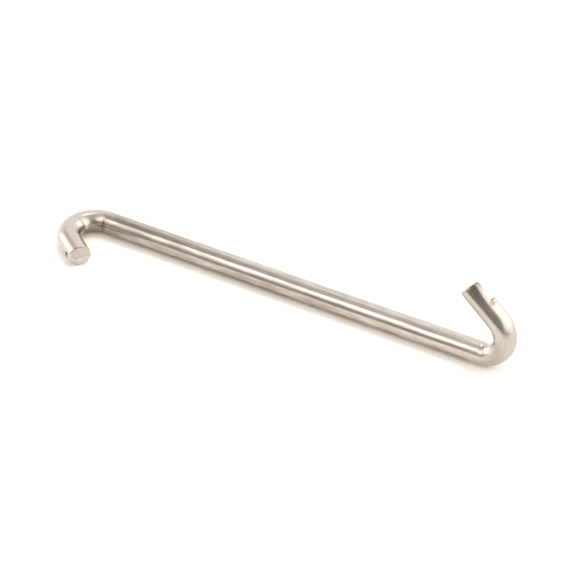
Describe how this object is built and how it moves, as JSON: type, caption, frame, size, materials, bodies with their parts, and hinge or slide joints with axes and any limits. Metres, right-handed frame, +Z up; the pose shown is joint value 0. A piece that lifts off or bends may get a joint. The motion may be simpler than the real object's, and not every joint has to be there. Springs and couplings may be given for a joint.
{
  "type": "oven door hinge link",
  "caption": "Round stainless rod hooked at each end, the hooks square to each other and each tip notched; it ties an oven door's hinge arm to its spring or bracket.",
  "frame": {"origin": "middle of the footprint, on the floor that the link lies on", "axes": "+X along the shank towards the upright hook, +Z up, the flat hook turned towards -Y"},
  "size_m": [0.1358, 0.023, 0.0253],
  "materials": {
    "stainless": "satin"
  },
  "bodies": {
    "root": {"hinge_link": "stainless"}
  },
  "joints": []
}
